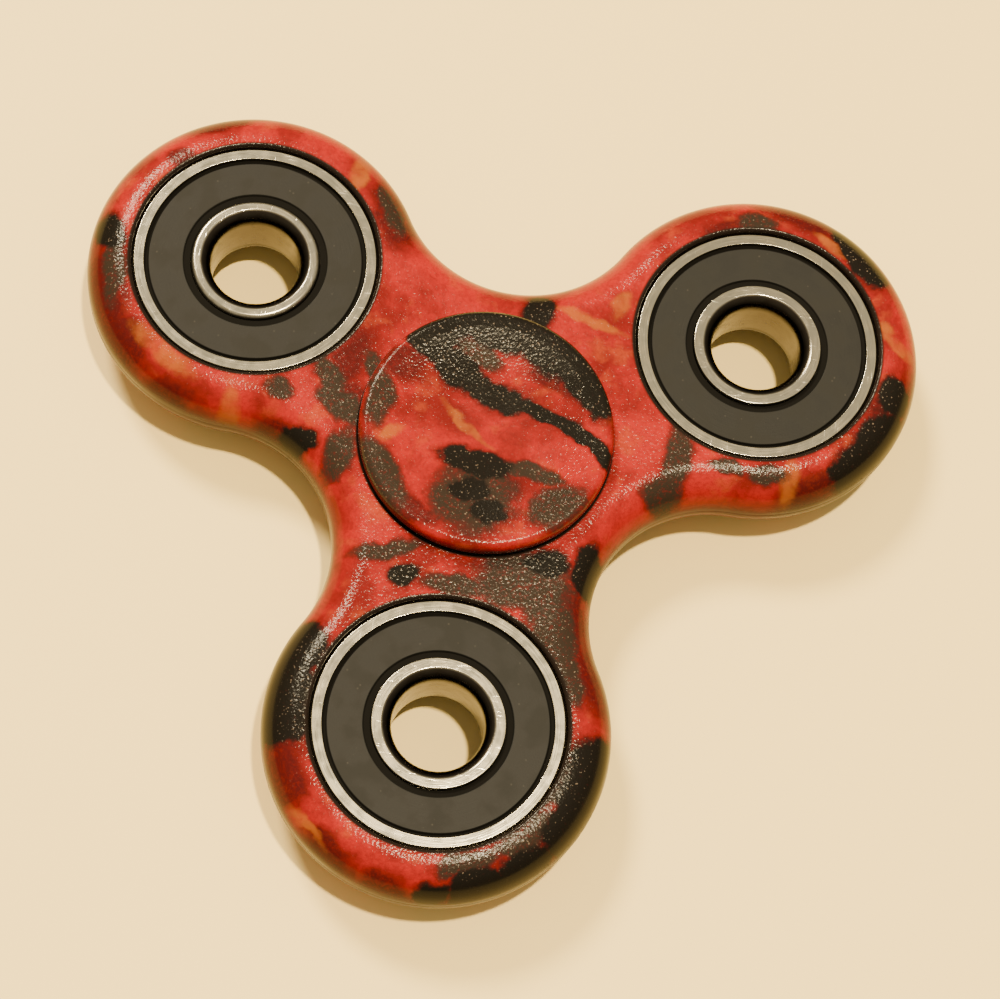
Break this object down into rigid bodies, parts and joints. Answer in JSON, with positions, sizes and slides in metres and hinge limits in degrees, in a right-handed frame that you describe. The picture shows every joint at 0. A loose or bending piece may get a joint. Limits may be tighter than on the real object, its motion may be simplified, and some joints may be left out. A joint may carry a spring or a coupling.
{
  "type": "fidget spinner",
  "caption": "Hand spinner: a flat body of round lobes turns on a middle ball bearing between two dished finger caps, with more bearings as weights in its lobes.",
  "frame": {"origin": "centre of the middle bearing, on the spin axis and midway between the two caps", "axes": "+Z along the spin axis towards the upper cap; -Y towards the front lobe"},
  "size_m": [0.0756, 0.0695, 0.0116],
  "materials": {
    "marbled_plastic": "red, black and yellow marbled film over fine-grained moulded plastic, satin gloss",
    "cap_plastic": "the same marbled film over fine-grained moulded plastic",
    "ring_steel": "ground bearing steel",
    "ball_steel": "polished bearing balls",
    "sheet_steel": "pressed sheet steel",
    "seal_rubber": "moulded nitrile rubber, dull"
  },
  "bodies": {
    "hub": {"upper_cap": "cap_plastic", "lower_cap": "cap_plastic", "centre_inner_ring": "ring_steel"},
    "frame": {"spinner_body": "marbled_plastic", "centre_outer_ring": "ring_steel", "centre_upper_seal": "seal_rubber", "centre_lower_seal": "seal_rubber", "centre_upper_seal_core": "sheet_steel", "centre_lower_seal_core": "sheet_steel", "right_outer_ring": "ring_steel", "right_upper_seal": "seal_rubber", "right_lower_seal": "seal_rubber", "right_upper_seal_core": "sheet_steel", "right_lower_seal_core": "sheet_steel", "left_outer_ring": "ring_steel", "left_upper_seal": "seal_rubber", "left_lower_seal": "seal_rubber", "left_upper_seal_core": "sheet_steel", "left_lower_seal_core": "sheet_steel", "front_outer_ring": "ring_steel", "front_upper_seal": "seal_rubber", "front_lower_seal": "seal_rubber", "front_upper_seal_core": "sheet_steel", "front_lower_seal_core": "sheet_steel"},
    "centre_cage": {"centre_balls": "ball_steel", "centre_cage_upper": "sheet_steel", "centre_cage_lower": "sheet_steel", "centre_cage_rivets": "sheet_steel"},
    "right_inner": {"right_inner_ring": "ring_steel"},
    "right_cage": {"right_balls": "ball_steel", "right_cage_upper": "sheet_steel", "right_cage_lower": "sheet_steel", "right_cage_rivets": "sheet_steel"},
    "left_inner": {"left_inner_ring": "ring_steel"},
    "left_cage": {"left_balls": "ball_steel", "left_cage_upper": "sheet_steel", "left_cage_lower": "sheet_steel", "left_cage_rivets": "sheet_steel"},
    "front_inner": {"front_inner_ring": "ring_steel"},
    "front_cage": {"front_balls": "ball_steel", "front_cage_upper": "sheet_steel", "front_cage_lower": "sheet_steel", "front_cage_rivets": "sheet_steel"}
  },
  "joints": [
    {"name": "spinner_spin", "type": "hinge", "parent": "hub", "child": "frame", "pos_m": [0, 0, 0], "axis": [0, 0, 1], "continuous": true},
    {"name": "centre_cage_spin", "type": "hinge", "parent": "hub", "child": "centre_cage", "pos_m": [0, 0, 0], "axis": [0, 0, 1], "continuous": true},
    {"name": "right_ring_spin", "type": "hinge", "parent": "frame", "child": "right_inner", "pos_m": [0.02278, 0.01315, 0], "axis": [0, 0, 1], "continuous": true},
    {"name": "right_cage_spin", "type": "hinge", "parent": "frame", "child": "right_cage", "pos_m": [0.02278, 0.01315, 0], "axis": [0, 0, 1], "continuous": true},
    {"name": "left_ring_spin", "type": "hinge", "parent": "frame", "child": "left_inner", "pos_m": [-0.02278, 0.01315, 0], "axis": [0, 0, 1], "continuous": true},
    {"name": "left_cage_spin", "type": "hinge", "parent": "frame", "child": "left_cage", "pos_m": [-0.02278, 0.01315, 0], "axis": [0, 0, 1], "continuous": true},
    {"name": "front_ring_spin", "type": "hinge", "parent": "frame", "child": "front_inner", "pos_m": [0, -0.0263, 0], "axis": [0, 0, 1], "continuous": true},
    {"name": "front_cage_spin", "type": "hinge", "parent": "frame", "child": "front_cage", "pos_m": [0, -0.0263, 0], "axis": [0, 0, 1], "continuous": true}
  ],
  "couplings": [
    {"joint": "centre_cage_spin", "follows": "spinner_spin", "ratio": 0.6323},
    {"joint": "right_cage_spin", "follows": "right_ring_spin", "ratio": 0.3677},
    {"joint": "left_cage_spin", "follows": "left_ring_spin", "ratio": 0.3677},
    {"joint": "front_cage_spin", "follows": "front_ring_spin", "ratio": 0.3677}
  ]
}
